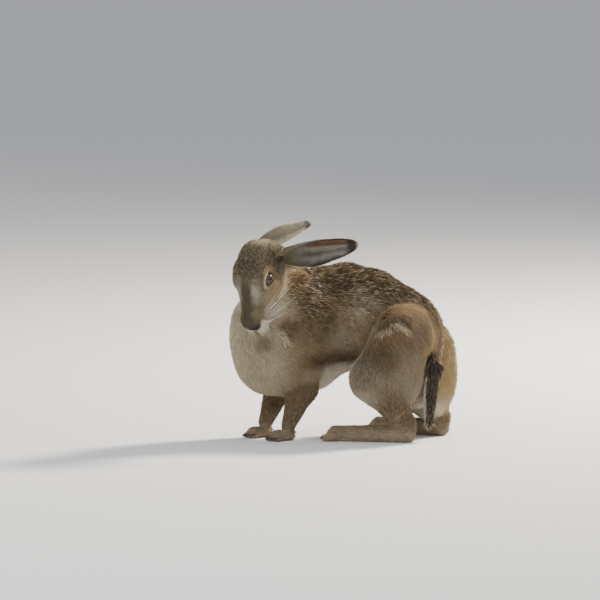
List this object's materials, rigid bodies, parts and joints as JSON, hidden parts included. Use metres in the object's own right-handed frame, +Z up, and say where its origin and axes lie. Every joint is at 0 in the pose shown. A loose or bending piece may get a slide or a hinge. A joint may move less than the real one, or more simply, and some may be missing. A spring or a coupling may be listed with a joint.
{
  "type": "brown hare",
  "caption": "Brown hare, life size, standing in a half crouch on all feet and turning its head down over its left shoulder to groom its breast.",
  "frame": {"origin": "on the floor, under the middle of the hare's length and breadth", "axes": "+X from the breast towards the rump, +Y away from the hare's left side, +Z up"},
  "size_m": [0.3018, 0.2192, 0.2947],
  "materials": {
    "coat": "matt brown, buff and white fur",
    "eye": "wet, dark amber brown"
  },
  "bodies": {
    "root": {"head": "coat", "neck": "coat", "torso_front": "coat", "torso_rear": "coat", "tail": "coat", "ear_left": "coat", "ear_right": "coat", "eye_left": "eye", "eye_right": "eye", "thigh_left": "coat", "thigh_right": "coat", "hindfoot_left": "coat", "hindfoot_right": "coat", "foreleg_left": "coat", "foreleg_right": "coat", "forepaw_left": "coat", "forepaw_right": "coat"}
  },
  "joints": []
}
